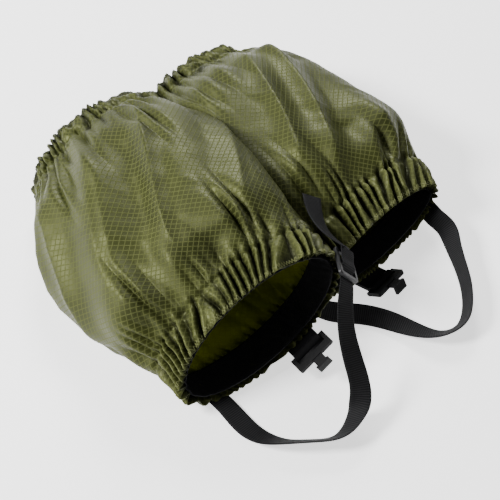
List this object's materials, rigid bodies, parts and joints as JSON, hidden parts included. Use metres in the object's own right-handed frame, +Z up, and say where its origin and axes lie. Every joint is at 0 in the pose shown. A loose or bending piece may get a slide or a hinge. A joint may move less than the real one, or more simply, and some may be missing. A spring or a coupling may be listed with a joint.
{
  "type": "gaiters",
  "caption": "Pair of short elasticated leg gaiters lying down, one leaning on the other, with under-foot webbing straps, slider buckles and lace hooks.",
  "frame": {"origin": "middle of the bounding box at the surface the pair lies on", "axes": "+Z up, +Y along the left leg tube from its hem to its cuff, +X from the left gaiter to the right one"},
  "size_m": [0.3102, 0.3558, 0.0981],
  "materials": {
    "coated_cloth": "glossy coated diamond-check olive cloth",
    "inner_coating": "matt yellow-green coating",
    "black_elastic": "matt woven elastic",
    "black_webbing": "ribbed matt webbing",
    "black_plastic": "satin moulded",
    "stitching": "bar tack"
  },
  "bodies": {
    "right_gaiter": {"right_leg_shell": "coated_cloth", "right_hem_casing": "coated_cloth", "right_hem_elastic": "black_elastic", "right_cuff_casing": "coated_cloth", "right_cuff_elastic": "black_elastic", "right_seam_tape": "inner_coating", "right_buckle": "black_plastic", "right_lace_tab": "black_webbing", "right_tab_tack": "stitching", "right_strap_root": "black_webbing", "right_strap_lead": "black_webbing", "right_buckle_anchor": "black_webbing"},
    "left_gaiter": {"left_leg_shell": "coated_cloth", "left_hem_casing": "coated_cloth", "left_hem_elastic": "black_elastic", "left_cuff_casing": "coated_cloth", "left_cuff_elastic": "black_elastic", "left_seam_tape": "inner_coating", "left_buckle": "black_plastic", "left_lace_tab": "black_webbing", "left_tab_tack": "stitching", "left_strap_root": "black_webbing", "left_strap_lead": "black_webbing", "left_buckle_anchor": "black_webbing"},
    "left_stirrup": {"left_stirrup_strap": "black_webbing"},
    "left_hook": {"left_lace_hook": "black_plastic"},
    "left_tail": {"left_strap_tail": "black_webbing"},
    "right_stirrup": {"right_stirrup_strap": "black_webbing"},
    "right_hook": {"right_lace_hook": "black_plastic"},
    "right_tail": {"right_strap_tail": "black_webbing"}
  },
  "joints": [
    {"name": "left_gaiter_lift", "type": "slide", "parent": "right_gaiter", "child": "left_gaiter", "axis": [0, 0, 1], "range_m": [0, 0.2]},
    {"name": "left_stirrup_swing", "type": "hinge", "parent": "left_gaiter", "child": "left_stirrup", "pos_m": [-0.10745, -0.09517, 0.0034], "axis": [-0.8779, 0.0603, -0.4751], "range_deg": [0, 90]},
    {"name": "right_stirrup_swing", "type": "hinge", "parent": "right_gaiter", "child": "right_stirrup", "pos_m": [0.12755, -0.06967, 0.0195], "axis": [-0.9924, -0.1032, -0.0675], "range_deg": [-75, 0]},
    {"name": "left_hook_tilt", "type": "hinge", "parent": "left_gaiter", "child": "left_hook", "pos_m": [-0.03447, -0.10478, 0.01821], "axis": [0.8949, 0.0109, 0.4462], "range_deg": [-60, 60]},
    {"name": "right_hook_tilt", "type": "hinge", "parent": "right_gaiter", "child": "right_hook", "pos_m": [0.05551, -0.08808, 0.00717], "axis": [0.9748, 0.2127, -0.0672], "range_deg": [-60, 40]},
    {"name": "left_tail_lift", "type": "hinge", "parent": "left_gaiter", "child": "left_tail", "pos_m": [0.02148, -0.08028, 0.06842], "axis": [0.5662, -0.2891, -0.7719], "range_deg": [0, 80]},
    {"name": "right_tail_lift", "type": "hinge", "parent": "right_gaiter", "child": "right_tail", "pos_m": [-0.01446, -0.05812, 0.0178], "axis": [0.5679, 0.0996, 0.817], "range_deg": [0, 8]}
  ]
}
